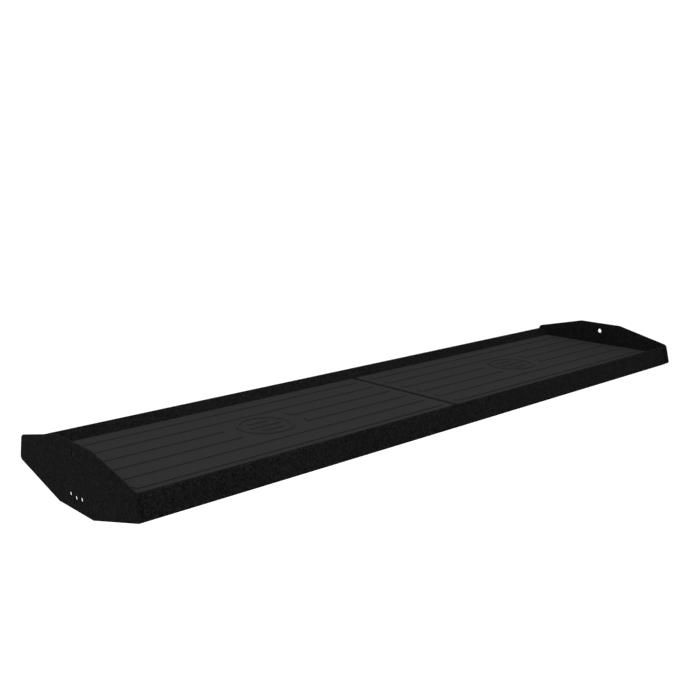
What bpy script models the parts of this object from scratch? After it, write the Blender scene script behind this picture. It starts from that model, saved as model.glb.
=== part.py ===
"""Running board: a folded steel tray closed by two end plates, with two step pads lying in it
and two angle brackets bolted under it.

X runs along the board, +Y points towards the vehicle and +Z is up. The origin is on the ground
under the middle of the board, level with the bottom edges of the end plates.
"""
import math

import bmesh
import bpy
from mathutils import Matrix, Vector

# Driving dimensions, in metres
BOARD_LENGTH = 0.762
FIT_GAP = 0.0003
ROUND_SEGMENTS = 24

# End plates: an eight-sided outline, given on its rear half
PLATE_THICKNESS = 0.0015
PLATE_HEIGHT = 0.0577
PLATE_FLAT_HALF = 0.0294
UPPER_SHOULDER = (0.0969, 0.0421)
LOWER_SHOULDER = (0.1024, 0.0194)
SHOULDER_ROUNDING = 0.003
UPPER_HOLE = (0.0, 0.0473)
UPPER_HOLE_RADIUS = 0.00275
LOW_HOLE_RADIUS = 0.0024
LOW_HOLE_PITCH = 0.0096
LOW_MIDDLE_HOLE = (-0.0012, 0.0110)
LOW_OUTER_HOLE_RISE = 0.0011

# Tray: the middle line of its sheet, from the deck out to the bottom of the skirt
SHEET_THICKNESS = 0.0015
DECK_LINE_HEIGHT = 0.02695
DECK_FOOT_HALF = 0.0801
RIDGE_CORNER = (0.0935, 0.0401)
SKIRT_BOTTOM = (0.09735, 0.0176)
RIDGE_FOLD_SETBACK = 0.0029
FOOT_FOLD_SETBACK = 0.001

# Step pads
PAD_THICKNESS = 0.004
PAD_HALF_DEPTH = 0.0786
PAD_END_CLEARANCE = 0.0092
PAD_MIDDLE_GAP = 0.0055
PAD_CORNER_ROUNDING = 0.003
PAD_EDGE_ROUNDING = 0.0006
RIB_COUNT = 6
RIB_PITCH = 0.0253
RIB_WIDTH = 0.0095
RIB_HEIGHT = 0.0008
RIB_DRAFT = 0.0003
RIB_END_MARGIN = 0.008
RIB_ROOT = 0.001
ROSETTE_RADIUS = 0.028
ROSETTE_RIM_WIDTH = 0.004
ROSETTE_CLEARANCE = 0.0418
ROSETTE_BAR_WIDTH = 0.006
ROSETTE_BAR_PITCH = 0.012
ROSETTE_BAR_HALF_LENGTHS = (0.012, 0.018, 0.012)

# Brackets and their fasteners, for M8 thread
BRACKET_STATION = 0.24
BRACKET_HALF_DEPTH = 0.062
BRACKET_THICKNESS = 0.004
BRACKET_LEG_WIDTH = 0.046
BRACKET_LEG_BOTTOM = 0.0015
BRACKET_BEND_SETBACK = 0.005
SLOT_HALF_SPACING = 0.042
SLOT_WIDTH = 0.009
SLOT_LENGTH = 0.024
SLOT_HEIGHT = 0.0105
STUD_STATIONS = (-0.052, 0.0, 0.052)
STUD_RADIUS = 0.004
STUD_LENGTH = 0.015
STUD_CHAMFER = 0.0008
STUD_COLLAR_RADIUS = 0.0052
STUD_COLLAR_HEIGHT = 0.0007
BRACKET_HOLE_RADIUS = 0.0056
WASHER_RADIUS = 0.008
WASHER_THICKNESS = 0.0016
NUT_ACROSS_FLATS = 0.013
NUT_HEIGHT = 0.0065
THREAD_CLEARANCE = 0.0003

DECK_TOP = DECK_LINE_HEIGHT + SHEET_THICKNESS / 2
DECK_UNDERSIDE = DECK_LINE_HEIGHT - SHEET_THICKNESS / 2
PAD_BOTTOM = DECK_TOP + FIT_GAP
PAD_PLANE = PAD_BOTTOM + PAD_THICKNESS
PAD_INNER_END = PAD_MIDDLE_GAP / 2
PAD_OUTER_END = BOARD_LENGTH / 2 - PAD_END_CLEARANCE
PAD_MIDDLE = (PAD_INNER_END + PAD_OUTER_END) / 2
BRACKET_TOP = DECK_UNDERSIDE - FIT_GAP
SIDES = {"left": -1, "right": 1}


def clear_scene():
    for existing in list(bpy.data.objects):
        bpy.data.objects.remove(existing, do_unlink=True)


def make_collection(name):
    collection = bpy.data.collections.new(name)
    bpy.context.scene.collection.children.link(collection)
    return collection


def make_material(name, colour, roughness, metallic):
    material = bpy.data.materials.new(name)
    material.use_nodes = True
    surface = material.node_tree.nodes["Principled BSDF"]
    surface.inputs["Base Color"].default_value = (*colour, 1.0)
    surface.inputs["Roughness"].default_value = roughness
    surface.inputs["Metallic"].default_value = metallic
    return material


def mesh_from(bm, name):
    """Turn a finished bmesh, its faces already pointing out, into a mesh."""
    mesh = bpy.data.meshes.new(name)
    bm.to_mesh(mesh)
    bm.free()
    return mesh


def add_part(name, mesh, material):
    """A piece of the board: one object in the parts collection."""
    part = bpy.data.objects.new(name, mesh)
    if not mesh.materials:
        mesh.materials.append(material)
    parts.objects.link(part)
    return part


def add_cutter(name, mesh):
    """A helper solid that shapes a piece and is not part of the board."""
    cutter = bpy.data.objects.new(name, mesh)
    cutter.hide_render = True
    cutter.display_type = "WIRE"
    cutters.objects.link(cutter)
    return cutter


def combine(part, other, operation):
    step = part.modifiers.new(operation.lower(), "BOOLEAN")
    step.operation = operation
    step.solver = "EXACT"
    step.object = other


def soften(mesh, angle=math.radians(35)):
    mesh.shade_smooth()
    mesh.set_sharp_from_angle(angle=angle)


def add_cylinder(bm, centre, radius, depth, axis="Z"):
    turn = Matrix.Identity(4)
    if axis == "X":
        turn = Matrix.Rotation(math.pi / 2, 4, "Y")
    bmesh.ops.create_cone(
        bm, cap_ends=True, segments=ROUND_SEGMENTS, radius1=radius, radius2=radius,
        depth=depth, matrix=Matrix.Translation(centre) @ turn,
    )


def add_stadium(bm, start, end, across, width, bottom, top, draft=0.0):
    """A straight bar with round ends, lying along X between start and end."""
    segments = 16
    side_radius = width / 2 / math.cos(math.pi / segments)
    half_run = (end - start - width) / 2
    made = bmesh.ops.create_cone(
        bm, cap_ends=True, segments=segments, radius1=side_radius,
        radius2=side_radius - draft, depth=top - bottom,
        matrix=Matrix.Rotation(math.pi / segments, 4, "Z"),
    )
    for vert in made["verts"]:
        vert.co.x += math.copysign(half_run, vert.co.x)
    bmesh.ops.translate(
        bm, verts=made["verts"], vec=((start + end) / 2, across, (bottom + top) / 2)
    )


def folded_strip(corners, run_axis, half_run, setbacks):
    """An open sheet through the corner points, its folds rounded by their setbacks."""
    bm = bmesh.new()
    rows = []
    for u, v in corners:
        if run_axis == "X":
            ends = (Vector((-half_run, u, v)), Vector((half_run, u, v)))
        else:
            ends = (Vector((u, -half_run, v)), Vector((u, half_run, v)))
        rows.append([bm.verts.new(end) for end in ends])
    for near, far in zip(rows, rows[1:]):
        bm.faces.new((near[0], near[1], far[1], far[0]))
    for setback in sorted(set(setbacks)):
        folds = []
        for row, own_setback in zip(rows[1:-1], setbacks):
            if own_setback == setback:
                folds.append(next(e for e in row[0].link_edges if e.other_vert(row[0]) is row[1]))
        bmesh.ops.bevel(
            bm, geom=folds, offset=setback, offset_type="OFFSET", segments=6,
            profile=0.5, affect="EDGES", clamp_overlap=False,
        )
    return bm


def thicken(part, thickness):
    shell = part.modifiers.new("thickness", "SOLIDIFY")
    shell.thickness = thickness
    shell.offset = 0.0
    shell.use_even_offset = True


def make_tray(material):
    """Deck with a ridge folded up along each long edge and a skirt sloping down outside it."""
    rear_half = [(DECK_FOOT_HALF, DECK_LINE_HEIGHT), RIDGE_CORNER, SKIRT_BOTTOM]
    front_half = [(-depth, height) for depth, height in reversed(rear_half)]
    setbacks = [RIDGE_FOLD_SETBACK, FOOT_FOLD_SETBACK, FOOT_FOLD_SETBACK, RIDGE_FOLD_SETBACK]
    half_run = BOARD_LENGTH / 2 - PLATE_THICKNESS - FIT_GAP
    bm = folded_strip(front_half + rear_half, "X", half_run, setbacks)
    tray = add_part("deck_tray", mesh_from(bm, "deck_tray"), material)
    soften(tray.data)
    thicken(tray, SHEET_THICKNESS)


def plate_outline():
    """Corners of an end plate as (depth, height), going round from the bottom rear."""
    rear = [
        (PLATE_FLAT_HALF, 0.0),
        LOWER_SHOULDER,
        UPPER_SHOULDER,
        (PLATE_FLAT_HALF, PLATE_HEIGHT),
    ]
    front = [(-depth, height) for depth, height in reversed(rear)]
    return rear + front


def plate_holes():
    """Depth, height and radius of one hole near the top edge and three near the bottom edge."""
    row_depth, row_height = LOW_MIDDLE_HOLE
    outer_height = row_height + LOW_OUTER_HOLE_RISE
    return [
        (*UPPER_HOLE, UPPER_HOLE_RADIUS),
        (row_depth - LOW_HOLE_PITCH, outer_height, LOW_HOLE_RADIUS),
        (row_depth, row_height, LOW_HOLE_RADIUS),
        (row_depth + LOW_HOLE_PITCH, outer_height, LOW_HOLE_RADIUS),
    ]


def make_end_plate(side, direction, material):
    inner = direction * (BOARD_LENGTH / 2 - PLATE_THICKNESS)
    bm = bmesh.new()
    corners = [bm.verts.new((inner, depth, height)) for depth, height in plate_outline()]
    face = bm.faces.new(corners)
    grown = bmesh.ops.extrude_face_region(bm, geom=[face])
    outer_verts = [item for item in grown["geom"] if isinstance(item, bmesh.types.BMVert)]
    bmesh.ops.translate(bm, verts=outer_verts, vec=(direction * PLATE_THICKNESS, 0, 0))
    shoulders = [
        edge for edge in bm.edges
        if abs(edge.verts[0].co.x - edge.verts[1].co.x) > PLATE_THICKNESS / 2
        and abs(edge.verts[0].co.y) > 2 * PLATE_FLAT_HALF
    ]
    bmesh.ops.bevel(
        bm, geom=shoulders, offset=SHOULDER_ROUNDING, offset_type="OFFSET", segments=4,
        profile=0.5, affect="EDGES",
    )
    bmesh.ops.recalc_face_normals(bm, faces=bm.faces)
    plate = add_part(f"end_plate_{side}", mesh_from(bm, f"end_plate_{side}"), material)
    soften(plate.data)

    holes = bmesh.new()
    for depth, height, radius in plate_holes():
        centre = (direction * BOARD_LENGTH / 2, depth, height)
        add_cylinder(holes, centre, radius, 4 * PLATE_THICKNESS, axis="X")
    cutter = add_cutter(f"plate_holes_{side}", mesh_from(holes, f"plate_holes_{side}"))
    combine(plate, cutter, "DIFFERENCE")


def pad_blank(centre_x):
    """The flat body of a pad, with round corners and a softened top edge."""
    bm = bmesh.new()
    size = (PAD_OUTER_END - PAD_INNER_END, 2 * PAD_HALF_DEPTH, PAD_THICKNESS)
    place = Matrix.Translation((centre_x, 0, PAD_BOTTOM + PAD_THICKNESS / 2))
    bmesh.ops.create_cube(bm, size=1.0, matrix=place @ Matrix.Diagonal((*size, 1.0)))
    uprights = [e for e in bm.edges if abs(e.verts[0].co.z - e.verts[1].co.z) > PAD_THICKNESS / 2]
    bmesh.ops.bevel(
        bm, geom=uprights, offset=PAD_CORNER_ROUNDING, segments=4, profile=0.5, affect="EDGES"
    )
    middle_height = PAD_BOTTOM + PAD_THICKNESS / 2
    rim = [e for e in bm.edges if min(v.co.z for v in e.verts) > middle_height]
    bmesh.ops.bevel(
        bm, geom=rim, offset=PAD_EDGE_ROUNDING, segments=2, profile=0.5, affect="EDGES"
    )
    return bm


def rib_offsets():
    """How far each rib's middle line is from the pad's middle line."""
    return [(index - (RIB_COUNT - 1) / 2) * RIB_PITCH for index in range(RIB_COUNT)]


def add_rosette_rim(bm, centre_x):
    """The raised ring in the middle of a pad: a small rectangle swept once round."""
    bars = set(bm.faces)
    bottom = PAD_PLANE - RIB_ROOT
    top = PAD_PLANE + RIB_HEIGHT
    outer = ROSETTE_RADIUS
    inner = ROSETTE_RADIUS - ROSETTE_RIM_WIDTH
    profile = [(inner, bottom), (outer, bottom), (outer - RIB_DRAFT, top), (inner + RIB_DRAFT, top)]
    verts = [bm.verts.new((centre_x + radius, 0, height)) for radius, height in profile]
    edges = [bm.edges.new((verts[i], verts[i - 1])) for i in range(len(verts))]
    bmesh.ops.spin(
        bm, geom=verts + edges, cent=(centre_x, 0, 0), axis=(0, 0, 1), dvec=(0, 0, 0),
        angle=2 * math.pi, steps=2 * ROUND_SEGMENTS, use_merge=True,
    )
    rim = [face for face in bm.faces if face not in bars]
    bmesh.ops.recalc_face_normals(bm, faces=rim)


def make_pad(side, direction, material):
    centre_x = direction * PAD_MIDDLE
    half_ribs = (PAD_OUTER_END - PAD_INNER_END) / 2 - RIB_END_MARGIN
    start = centre_x - half_ribs
    end = centre_x + half_ribs
    bottom = PAD_PLANE - RIB_ROOT
    top = PAD_PLANE + RIB_HEIGHT
    pad = add_part(f"step_pad_{side}", mesh_from(pad_blank(centre_x), f"step_pad_{side}"), material)
    soften(pad.data)

    relief = bmesh.new()
    broken_ribs = bmesh.new()
    for offset in rib_offsets():
        meets_rosette = abs(offset) < RIB_PITCH
        target = broken_ribs if meets_rosette else relief
        add_stadium(target, start, end, offset, RIB_WIDTH, bottom, top, RIB_DRAFT)
    add_rosette_rim(relief, centre_x)
    for index, half_length in enumerate(ROSETTE_BAR_HALF_LENGTHS):
        add_stadium(
            relief, centre_x - half_length, centre_x + half_length,
            (index - 1) * ROSETTE_BAR_PITCH, ROSETTE_BAR_WIDTH, bottom, top, RIB_DRAFT,
        )
    relief_solid = add_cutter(f"pad_relief_{side}", mesh_from(relief, f"pad_relief_{side}"))
    ribs_solid = add_cutter(f"pad_middle_ribs_{side}", mesh_from(broken_ribs, f"middle_ribs_{side}"))

    clearing = bmesh.new()
    add_cylinder(clearing, (centre_x, 0, PAD_PLANE), ROSETTE_CLEARANCE, 2 * PAD_THICKNESS)
    clearing_solid = add_cutter(f"rosette_clearing_{side}", mesh_from(clearing, f"clearing_{side}"))
    combine(ribs_solid, clearing_solid, "DIFFERENCE")
    combine(pad, ribs_solid, "UNION")
    combine(pad, relief_solid, "UNION")


def make_bracket(side, direction, material):
    """An angle: one leg flat under the deck, the other hanging down with two slots."""
    station = direction * BRACKET_STATION
    leg_line = BRACKET_TOP - BRACKET_THICKNESS / 2
    half_leg = BRACKET_LEG_WIDTH / 2
    bend_x = station + direction * half_leg
    corners = [
        (station - direction * half_leg, leg_line),
        (bend_x, leg_line),
        (bend_x, BRACKET_LEG_BOTTOM),
    ]
    bm = folded_strip(corners, "Y", BRACKET_HALF_DEPTH, [BRACKET_BEND_SETBACK])
    name = f"mounting_bracket_{side}"
    bracket = add_part(name, mesh_from(bm, name), material)
    soften(bracket.data)
    thicken(bracket, BRACKET_THICKNESS)

    holes = bmesh.new()
    for depth in STUD_STATIONS:
        add_cylinder(holes, (station, depth, leg_line), BRACKET_HOLE_RADIUS, 3 * BRACKET_THICKNESS)
    half_slot = SLOT_LENGTH / 2
    half_cut = 1.5 * BRACKET_THICKNESS
    slots = bmesh.new()
    for place in (-SLOT_HALF_SPACING, SLOT_HALF_SPACING):
        add_stadium(slots, place - half_slot, place + half_slot, 0, SLOT_WIDTH, -half_cut, half_cut)
    turn_to_leg = Matrix(((0, 0, 1), (1, 0, 0), (0, 1, 0))).to_4x4()
    slots.transform(Matrix.Translation((bend_x, 0, SLOT_HEIGHT)) @ turn_to_leg)
    combine(bracket, add_cutter(f"stud_holes_{side}", mesh_from(holes, f"stud_holes_{side}")),
            "DIFFERENCE")
    combine(bracket, add_cutter(f"bracket_slots_{side}", mesh_from(slots, f"slots_{side}")),
            "DIFFERENCE")


def turned_mesh(name, profile):
    """A round solid from (radius, height) points running down its outer side."""
    bm = bmesh.new()
    verts = [bm.verts.new((radius, 0, height)) for radius, height in profile]
    for upper, lower in zip(verts, verts[1:]):
        bm.edges.new((upper, lower))
    if profile[0][0] > 0:
        bm.edges.new((verts[-1], verts[0]))
    mesh = bpy.data.meshes.new(name)
    bm.to_mesh(mesh)
    bm.free()
    blank = add_cutter(f"{name}_blank", mesh)
    turn = blank.modifiers.new("turn", "SCREW")
    turn.steps = ROUND_SEGMENTS
    turn.render_steps = ROUND_SEGMENTS
    turn.use_merge_vertices = True
    turn.merge_threshold = 0.00001
    return bake(blank, name)


def bake(blank, name):
    """The evaluated mesh of a helper, which is then removed."""
    bpy.context.view_layer.update()
    evaluated = blank.evaluated_get(bpy.context.evaluated_depsgraph_get())
    mesh = bpy.data.meshes.new_from_object(evaluated)
    mesh.name = name
    bpy.data.objects.remove(blank, do_unlink=True)
    soften(mesh)
    return mesh


def stud_mesh():
    """A weld stud hanging down from its collar, with a chamfered tip."""
    profile = [
        (0.0, 0.0),
        (STUD_COLLAR_RADIUS, 0.0),
        (STUD_COLLAR_RADIUS, -STUD_COLLAR_HEIGHT),
        (STUD_RADIUS, -STUD_COLLAR_HEIGHT),
        (STUD_RADIUS, STUD_CHAMFER - STUD_LENGTH),
        (STUD_RADIUS - STUD_CHAMFER, -STUD_LENGTH),
        (0.0, -STUD_LENGTH),
    ]
    return turned_mesh("weld_stud", profile)


def washer_mesh():
    bore = STUD_RADIUS + THREAD_CLEARANCE
    profile = [
        (bore, 0.0),
        (WASHER_RADIUS, 0.0),
        (WASHER_RADIUS, -WASHER_THICKNESS),
        (bore, -WASHER_THICKNESS),
    ]
    return turned_mesh("flat_washer", profile)


def nut_mesh():
    """A hexagon nut, its top at height zero, with its corners chamfered by a turned envelope."""
    corner_radius = NUT_ACROSS_FLATS / 2 / math.cos(math.pi / 6)
    chamfer = corner_radius - NUT_ACROSS_FLATS / 2
    bm = bmesh.new()
    bmesh.ops.create_cone(
        bm, cap_ends=True, segments=6, radius1=corner_radius, radius2=corner_radius,
        depth=NUT_HEIGHT, matrix=Matrix.Translation((0, 0, -NUT_HEIGHT / 2)),
    )
    blank = add_cutter("hex_nut_blank", mesh_from(bm, "hex_nut_blank"))
    bore = bmesh.new()
    add_cylinder(bore, (0, 0, -NUT_HEIGHT / 2), STUD_RADIUS + THREAD_CLEARANCE, 2 * NUT_HEIGHT)
    bore_solid = add_cutter("nut_bore", mesh_from(bore, "nut_bore"))
    envelope = turned_mesh("nut_envelope", [
        (0.0, 0.0),
        (corner_radius - chamfer, 0.0),
        (corner_radius + chamfer, -chamfer),
        (corner_radius + chamfer, chamfer - NUT_HEIGHT),
        (corner_radius - chamfer, -NUT_HEIGHT),
        (0.0, -NUT_HEIGHT),
    ])
    envelope_solid = add_cutter("nut_envelope", envelope)
    combine(blank, envelope_solid, "INTERSECT")
    combine(blank, bore_solid, "DIFFERENCE")
    mesh = bake(blank, "hex_nut")
    for helper in (bore_solid, envelope_solid):
        bpy.data.objects.remove(helper, do_unlink=True)
    return mesh


def make_fasteners(material):
    """A weld stud, a washer and a nut at every stud station of both brackets."""
    washer_top = BRACKET_TOP - BRACKET_THICKNESS - FIT_GAP
    nut_top = washer_top - WASHER_THICKNESS - FIT_GAP
    kinds = [
        ("weld_stud", stud_mesh(), BRACKET_TOP),
        ("washer", washer_mesh(), washer_top),
        ("nut", nut_mesh(), nut_top),
    ]
    positions = ("front", "middle", "rear")
    for side, direction in SIDES.items():
        for position, depth in zip(positions, STUD_STATIONS):
            for kind, mesh, height in kinds:
                piece = add_part(f"{kind}_{side}_{position}", mesh, material)
                piece.location = (direction * BRACKET_STATION, depth, height)


clear_scene()
parts = make_collection("running_board")
cutters = make_collection("cutters")
powder_coat = make_material("black_powder_coat", (0.012, 0.012, 0.012), 0.6, 0.0)
pad_rubber = make_material("charcoal_pad", (0.032, 0.032, 0.033), 0.75, 0.0)
zinc = make_material("zinc_plated_steel", (0.55, 0.55, 0.53), 0.35, 1.0)

make_tray(powder_coat)
for side_name, side_direction in SIDES.items():
    make_end_plate(side_name, side_direction, powder_coat)
    make_pad(side_name, side_direction, pad_rubber)
    make_bracket(side_name, side_direction, powder_coat)
make_fasteners(zinc)
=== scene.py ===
"""Looks of the running board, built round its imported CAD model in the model's own metres.

The CAD nodes keep their shapes and get procedural finishes and softened edges. The six plain
studs are replaced by threaded ones, and stitch welds join the tray to its end plates.
"""
import math
import bmesh
import bpy
from mathutils import Matrix, Vector


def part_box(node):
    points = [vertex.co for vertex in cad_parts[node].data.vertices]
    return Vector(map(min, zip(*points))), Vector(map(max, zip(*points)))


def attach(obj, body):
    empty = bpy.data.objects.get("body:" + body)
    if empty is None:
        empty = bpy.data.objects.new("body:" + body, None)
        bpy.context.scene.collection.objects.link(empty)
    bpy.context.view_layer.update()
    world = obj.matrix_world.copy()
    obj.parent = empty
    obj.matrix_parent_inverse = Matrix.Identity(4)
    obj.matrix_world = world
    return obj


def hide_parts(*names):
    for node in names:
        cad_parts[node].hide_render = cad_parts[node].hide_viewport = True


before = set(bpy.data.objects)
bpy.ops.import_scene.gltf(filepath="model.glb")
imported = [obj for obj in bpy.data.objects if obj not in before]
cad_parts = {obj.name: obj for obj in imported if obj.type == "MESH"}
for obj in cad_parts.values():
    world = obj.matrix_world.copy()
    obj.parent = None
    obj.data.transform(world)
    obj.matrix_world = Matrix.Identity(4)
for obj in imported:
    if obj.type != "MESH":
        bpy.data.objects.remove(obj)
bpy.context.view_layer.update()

# Camera, as it stands to the board
CAMERA_PLACE = (-0.6975, -0.6687, 0.2832)
CAMERA_HEADING = math.radians(42.81)
CAMERA_PITCH = math.radians(12.07)
CAMERA_ROLL = math.radians(-0.152)
CAMERA_LENS_MM = 47.58
SENSOR_WIDTH_MM = 36.0
CAMERA_NEAREST = 0.01
CAMERA_FARTHEST = 100.0

# Studio
FLOOR_DROP = 0.6
FLOOR_HALF_SIDE = 30.0
ROOM_BRIGHTNESS = 1.12
SOFTBOX_SIDE = 1.6
SOFTBOX_POWER = 32.0
SOFTBOX_PLACE = (-0.75, -0.55, 1.5)

# M8 thread on the studs
THREAD_PITCH = 0.00125
THREAD_DEPTH = 0.00065
THREAD_FLAT_SHARE = 0.25
ROWS_PER_PITCH = 8
TURN_SEGMENTS = 32
STUD_COLLAR_HEIGHT = 0.0007
STUD_RADIUS = 0.004
STUD_TIP_CHAMFER = 0.0008

# Stitch welds
WELD_LEG = 0.003
WELD_RIPPLE_PITCH = 0.0017
WELD_RIPPLE_DEPTH = 0.00022
WELD_ARC_SEGMENTS = 6
WELD_CROWN = 0.28
WELD_TIP_SHARE = 0.04
DECK_WELD_STATIONS = (-0.056, 0.0, 0.056)
DECK_WELD_LENGTH = 0.026

# Finishes: colours as linear red, green and blue, and how wide the painted edge highlight and
# painted edge shade are
COAT_COLOUR = (0.0049, 0.0049, 0.0049)
PAD_COLOUR = (0.0140, 0.0141, 0.0141)
ZINC_COLOUR = (0.62, 0.62, 0.60)
FLOOR_COLOUR = (0.93, 0.93, 0.93)
COAT_SHEEN_LEVEL = 0.004
PAD_SHEEN_LEVEL = 0.01
# Painted light on the coat's edges: a painted highlight on edges that look up, painted shade on
# upright edges
PAINTED_EDGE_LIGHT_RADIUS = 0.0009
PAINTED_TOP_EDGE_HIGHLIGHT = 0.9
PAINTED_SIDE_EDGE_SHADE = -0.85
EDGE_BEVEL = 0.00012
FIT_GAP = 0.0003

SHARP_BEVEL_ANGLE = math.radians(50)
SHARP_SHADING_ANGLE = math.radians(40)

ENDS = {"left": -1, "right": 1}
POSITIONS = ("front", "middle", "rear")


def new_material(name):
    """A material's node tree, its Principled shader and the material itself."""
    material = bpy.data.materials.new(name)
    material.use_nodes = True
    tree = material.node_tree
    return tree, tree.nodes["Principled BSDF"], material


def place_of(tree):
    """The point on the surface in metres, which every pattern is made from."""
    return tree.nodes.new("ShaderNodeTexCoord").outputs["Object"]


def noise(tree, place, scale, detail, roughness=0.5):
    node = tree.nodes.new("ShaderNodeTexNoise")
    node.inputs["Scale"].default_value = scale
    node.inputs["Detail"].default_value = detail
    node.inputs["Roughness"].default_value = roughness
    tree.links.new(place, node.inputs["Vector"])
    return node.outputs["Fac"]


def cells(tree, place, scale):
    node = tree.nodes.new("ShaderNodeTexVoronoi")
    node.inputs["Scale"].default_value = scale
    tree.links.new(place, node.inputs["Vector"])
    return node


def remap(tree, value, low_in, high_in, low_out, high_out):
    node = tree.nodes.new("ShaderNodeMapRange")
    node.inputs["From Min"].default_value = low_in
    node.inputs["From Max"].default_value = high_in
    node.inputs["To Min"].default_value = low_out
    node.inputs["To Max"].default_value = high_out
    tree.links.new(value, node.inputs["Value"])
    return node.outputs["Result"]


def compute(tree, operation, first, second):
    node = tree.nodes.new("ShaderNodeMath")
    node.operation = operation
    for socket, value in zip(node.inputs, (first, second)):
        if isinstance(value, (int, float)):
            socket.default_value = value
        else:
            tree.links.new(value, socket)
    return node.outputs["Value"]


def tint(tree, colour, brightness):
    """A colour times a brightness that varies over the surface."""
    node = tree.nodes.new("ShaderNodeVectorMath")
    node.operation = "SCALE"
    node.inputs[0].default_value = colour
    tree.links.new(brightness, node.inputs["Scale"])
    return node.outputs["Vector"]


def bump(tree, height, strength, distance, under=None):
    node = tree.nodes.new("ShaderNodeBump")
    node.inputs["Strength"].default_value = strength
    node.inputs["Distance"].default_value = distance
    tree.links.new(height, node.inputs["Height"])
    if under is not None:
        tree.links.new(under, node.inputs["Normal"])
    return node.outputs["Normal"]


def edge_mask(tree, radius):
    """One on the edges of a sheet and nought on its faces."""
    rounded = tree.nodes.new("ShaderNodeBevel")
    rounded.samples = 4
    rounded.inputs["Radius"].default_value = radius
    flat = tree.nodes.new("ShaderNodeNewGeometry")
    dot = tree.nodes.new("ShaderNodeVectorMath")
    dot.operation = "DOT_PRODUCT"
    tree.links.new(rounded.outputs["Normal"], dot.inputs[0])
    tree.links.new(flat.outputs["Normal"], dot.inputs[1])
    return remap(tree, dot.outputs["Value"], 0.98, 0.80, 0.0, 1.0)


def facing_up(tree, sideways, upward):
    """A value that goes from one number on upright faces to another on faces that look up."""
    split = tree.nodes.new("ShaderNodeSeparateXYZ")
    flat = tree.nodes.new("ShaderNodeNewGeometry")
    tree.links.new(flat.outputs["True Normal"], split.inputs["Vector"])
    return remap(tree, split.outputs["Z"], 0.3, 0.7, sideways, upward)


def powder_coat():
    """Black textured powder coat: raised grain and mottling, with a painted highlight on
    upward-facing edges and painted shade on upright edges such as hole walls.
    """
    tree, surface, material = new_material("black_textured_powder_coat")
    place = place_of(tree)
    grain = noise(tree, place, 720, 2.0, 0.6)
    mottle = noise(tree, place, 240, 3.0, 0.6)
    drift = noise(tree, place, 9, 2.0)
    speckle = remap(tree, grain, 0.32, 0.68, 0.26, 1.74)
    patches = remap(tree, mottle, 0.3, 0.7, 0.74, 1.26)
    slow = remap(tree, drift, 0.3, 0.7, 0.95, 1.05)
    brightness = compute(tree, "MULTIPLY", compute(tree, "MULTIPLY", speckle, patches), slow)
    # Painted light: edges that look up are brightened as a painted highlight, upright edges such
    # as hole walls are darkened as painted shade
    painted_edge_light_by_facing = facing_up(tree, PAINTED_SIDE_EDGE_SHADE, PAINTED_TOP_EDGE_HIGHLIGHT)
    painted_edge_light = compute(tree, "MULTIPLY", edge_mask(tree, PAINTED_EDGE_LIGHT_RADIUS), painted_edge_light_by_facing)
    brightness = compute(tree, "MULTIPLY", brightness, compute(tree, "ADD", painted_edge_light, 1.0))
    tree.links.new(tint(tree, COAT_COLOUR, brightness), surface.inputs["Base Color"])
    tree.links.new(remap(tree, mottle, 0.3, 0.7, 0.56, 0.72), surface.inputs["Roughness"])
    surface.inputs["Specular IOR Level"].default_value = COAT_SHEEN_LEVEL
    pebbles = cells(tree, place, 900).outputs["Distance"]
    relief = bump(tree, pebbles, 0.35, 0.0002)
    relief = bump(tree, mottle, 0.4, 0.0004, relief)
    tree.links.new(relief, surface.inputs["Normal"])
    return material


def pad_rubber():
    """Matt charcoal foam rubber with a very fine grain and faint scuffing."""
    tree, surface, material = new_material("charcoal_pad_rubber")
    place = place_of(tree)
    grain = noise(tree, place, 1700, 2.0, 0.6)
    scuff = noise(tree, place, 45, 3.0, 0.55)
    fine = remap(tree, grain, 0.3, 0.7, 0.95, 1.05)
    broad = remap(tree, scuff, 0.3, 0.7, 0.985, 1.015)
    brightness = compute(tree, "MULTIPLY", fine, broad)
    tree.links.new(tint(tree, PAD_COLOUR, brightness), surface.inputs["Base Color"])
    tree.links.new(remap(tree, scuff, 0.3, 0.7, 0.78, 0.88), surface.inputs["Roughness"])
    surface.inputs["Specular IOR Level"].default_value = PAD_SHEEN_LEVEL
    tree.links.new(bump(tree, grain, 0.2, 0.00008), surface.inputs["Normal"])
    return material


def zinc_plate():
    """Bright zinc on the fasteners: small crystal patches, fine turning marks and dull spots."""
    tree, surface, material = new_material("zinc_plated_steel")
    place = place_of(tree)
    crystals = cells(tree, place, 650)
    dull = noise(tree, place, 260, 3.0, 0.6)
    patches = remap(tree, crystals.outputs["Color"], 0.0, 1.0, 0.86, 1.08)
    stains = remap(tree, dull, 0.35, 0.7, 0.82, 1.04)
    brightness = compute(tree, "MULTIPLY", patches, stains)
    tree.links.new(tint(tree, ZINC_COLOUR, brightness), surface.inputs["Base Color"])
    tree.links.new(remap(tree, dull, 0.3, 0.7, 0.26, 0.46), surface.inputs["Roughness"])
    surface.inputs["Metallic"].default_value = 1.0
    scratches = noise(tree, place, 2600, 2.0, 0.6)
    tree.links.new(bump(tree, scratches, 0.2, 0.00008), surface.inputs["Normal"])
    return material


def pale_floor():
    """A plain pale floor with the faintest unevenness."""
    tree, surface, material = new_material("pale_floor")
    drift = noise(tree, place_of(tree), 0.8, 2.0)
    brightness = remap(tree, drift, 0.3, 0.7, 0.99, 1.0)
    tree.links.new(tint(tree, FLOOR_COLOUR, brightness), surface.inputs["Base Color"])
    surface.inputs["Roughness"].default_value = 0.9
    surface.inputs["Specular IOR Level"].default_value = 0.0
    return material


def give(piece, material):
    """Put one material on every slot of a piece."""
    if not piece.data.materials:
        piece.data.materials.append(material)
    for index in range(len(piece.material_slots)):
        piece.material_slots[index].material = material


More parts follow.
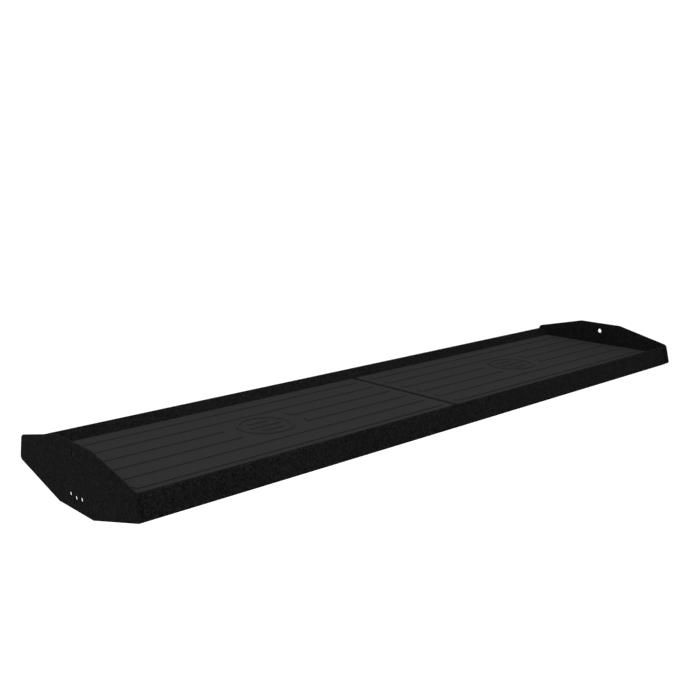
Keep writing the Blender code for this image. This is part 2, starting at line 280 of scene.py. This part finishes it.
def soften_edges(piece, width):
    """Round a sheet's cut edges, as coated steel has."""
    edges = piece.modifiers.new("softened_edges", "BEVEL")
    edges.width = width
    edges.segments = 2
    edges.limit_method = "ANGLE"
    edges.angle_limit = SHARP_BEVEL_ANGLE
    edges.harden_normals = True


def add_piece(name, bm, material):
    """A new mesh piece of the board, smooth but for its real edges."""
    bmesh.ops.recalc_face_normals(bm, faces=bm.faces)
    mesh = bpy.data.meshes.new(name)
    bm.to_mesh(mesh)
    bm.free()
    mesh.shade_smooth()
    mesh.set_sharp_from_angle(angle=SHARP_SHADING_ANGLE)
    mesh.materials.append(material)
    piece = bpy.data.objects.new(name, mesh)
    bpy.context.scene.collection.objects.link(piece)
    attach(piece, "root")
    return piece


def loft(bm, rings):
    """A closed skin through rings of points, capped at both ends."""
    made = [[bm.verts.new(point) for point in ring] for ring in rings]
    for ring, following in zip(made, made[1:]):
        for index in range(len(ring)):
            bm.faces.new((ring[index - 1], ring[index], following[index], following[index - 1]))
    bm.faces.new(made[0])
    bm.faces.new(reversed(made[-1]))


def thread_radius(depth, turn):
    """Radius of an M8 thread at a depth along the stud and a share of a turn round it."""
    phase = (depth / THREAD_PITCH - turn) % 1.0
    away = abs(phase - 0.5) * 2
    slope = (away - THREAD_FLAT_SHARE) / (1 - 2 * THREAD_FLAT_SHARE)
    return STUD_RADIUS - THREAD_DEPTH * min(1.0, max(0.0, slope))


def threaded_stud(node, name, material):
    """A weld stud with a real helical thread, standing for the plain CAD one."""
    lowest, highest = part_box(node)
    centre = (lowest + highest) / 2
    length = highest.z - lowest.z
    collar_radius = (highest.x - lowest.x) / 2
    shank_rows = math.ceil((length - STUD_COLLAR_HEIGHT) / THREAD_PITCH * ROWS_PER_PITCH)

    def collar(depth, turn):
        return collar_radius

    def shank(depth, turn):
        to_tip = length - depth
        chamfered = STUD_RADIUS - STUD_TIP_CHAMFER + to_tip
        return min(thread_radius(depth, turn), chamfered)

    sections = [(0.0, collar), (STUD_COLLAR_HEIGHT, collar)]
    for row in range(shank_rows + 1):
        depth = STUD_COLLAR_HEIGHT + (length - STUD_COLLAR_HEIGHT) * row / shank_rows
        sections.append((depth, shank))
    bm = bmesh.new()
    rings = []
    for depth, radius_at in sections:
        ring = []
        for step in range(TURN_SEGMENTS):
            turn = step / TURN_SEGMENTS
            radius = radius_at(depth, turn)
            angle = 2 * math.pi * turn
            ring.append(Vector((
                centre.x + radius * math.cos(angle),
                centre.y + radius * math.sin(angle),
                highest.z - depth,
            )))
        rings.append(ring)
    loft(bm, rings)
    piece = add_piece(name, bm, material)
    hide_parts(node)


def weld_bead(name, start, end, side_a, side_b, material):
    """A rippled fillet along an inside corner, from start to end, growing along both sides."""
    start, end = Vector(start), Vector(end)
    side_a, side_b = Vector(side_a), Vector(side_b)
    length = (end - start).length
    rows = math.ceil(length / WELD_RIPPLE_PITCH * ROWS_PER_PITCH)
    bm = bmesh.new()
    rings = []
    for row in range(rows + 1):
        along = row / rows
        from_end = min(along, 1 - along) * length
        taper = math.sqrt(min(1.0, from_end / WELD_LEG + WELD_TIP_SHARE))
        ripple = (along * length / WELD_RIPPLE_PITCH) % 1.0
        leg = WELD_LEG * taper - WELD_RIPPLE_DEPTH * ripple
        corner = start.lerp(end, along)
        ring = [corner]
        for step in range(WELD_ARC_SEGMENTS + 1):
            share = step / WELD_ARC_SEGMENTS
            crown = 1 + WELD_CROWN * math.sin(math.pi * share)
            ring.append(corner + leg * crown * (side_a * (1 - share) + side_b * share))
        rings.append(ring)
    loft(bm, rings)
    add_piece(name, bm, material)


def add_welds(material):
    """Stitches under the deck, where the tray meets each end plate."""
    deck_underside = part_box("mounting_bracket_left")[1].z + FIT_GAP
    for end_name, direction in ENDS.items():
        plate_low, plate_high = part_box(f"end_plate_{end_name}")
        inner_face = plate_high.x if direction < 0 else plate_low.x
        inward = (-direction, 0, 0)
        for station, position in zip(DECK_WELD_STATIONS, POSITIONS):
            half = DECK_WELD_LENGTH / 2
            weld_bead(
                f"weld_bead_{end_name}_{position}",
                (inner_face, station - half, deck_underside),
                (inner_face, station + half, deck_underside),
                inward, (0, 0, -1), material,
            )


def add_studio(floor_material):
    """A wide pale floor well below the board, an even bright room and one large softbox."""
    half = FLOOR_HALF_SIDE
    corners = [(-half, -half), (half, -half), (half, half), (-half, half)]
    mesh = bpy.data.meshes.new("floor")
    mesh.from_pydata([(x, y, -FLOOR_DROP) for x, y in corners], [], [(0, 1, 2, 3)])
    mesh.materials.append(floor_material)
    floor = bpy.data.objects.new("floor", mesh)
    bpy.context.scene.collection.objects.link(floor)

    world = bpy.data.worlds.new("bright_room")
    world.use_nodes = True
    background = world.node_tree.nodes["Background"]
    background.inputs["Color"].default_value = (1.0, 1.0, 1.0, 1.0)
    background.inputs["Strength"].default_value = ROOM_BRIGHTNESS
    bpy.context.scene.world = world

    lamp = bpy.data.lights.new("softbox", "AREA")
    lamp.shape = "SQUARE"
    lamp.size = SOFTBOX_SIDE
    lamp.energy = SOFTBOX_POWER
    softbox = bpy.data.objects.new("softbox", lamp)
    softbox.location = SOFTBOX_PLACE
    softbox.rotation_euler = (-softbox.location).to_track_quat("-Z", "Y").to_euler()
    bpy.context.scene.collection.objects.link(softbox)


def add_camera():
    data = bpy.data.cameras.new("camera")
    data.sensor_width = SENSOR_WIDTH_MM
    data.lens = CAMERA_LENS_MM
    data.clip_start = CAMERA_NEAREST
    data.clip_end = CAMERA_FARTHEST
    camera = bpy.data.objects.new("camera", data)
    bpy.context.scene.collection.objects.link(camera)
    heading = Matrix.Rotation(-CAMERA_HEADING, 4, "Z")
    tilt = Matrix.Rotation(math.pi / 2 - CAMERA_PITCH, 4, "X")
    roll = Matrix.Rotation(CAMERA_ROLL, 4, "Z")
    camera.matrix_world = Matrix.Translation(CAMERA_PLACE) @ heading @ tilt @ roll
    bpy.context.scene.camera = camera


def main():
    coat = powder_coat()
    rubber = pad_rubber()
    zinc = zinc_plate()
    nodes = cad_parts
    give(nodes["deck_tray"], coat)
    soften_edges(nodes["deck_tray"], EDGE_BEVEL)
    for end_name in ENDS:
        for kind in ("end_plate", "mounting_bracket"):
            sheet = nodes[f"{kind}_{end_name}"]
            give(sheet, coat)
            soften_edges(sheet, EDGE_BEVEL)
        give(nodes[f"step_pad_{end_name}"], rubber)
        for position in POSITIONS:
            place = f"{end_name}_{position}"
            give(nodes[f"washer_{place}"], zinc)
            give(nodes[f"nut_{place}"], zinc)
            threaded_stud(f"weld_stud_{place}", f"threaded_stud_{place}", zinc)
    add_welds(coat)
    add_studio(pale_floor())
    add_camera()
    bpy.context.scene.view_settings.view_transform = "Standard"


main()
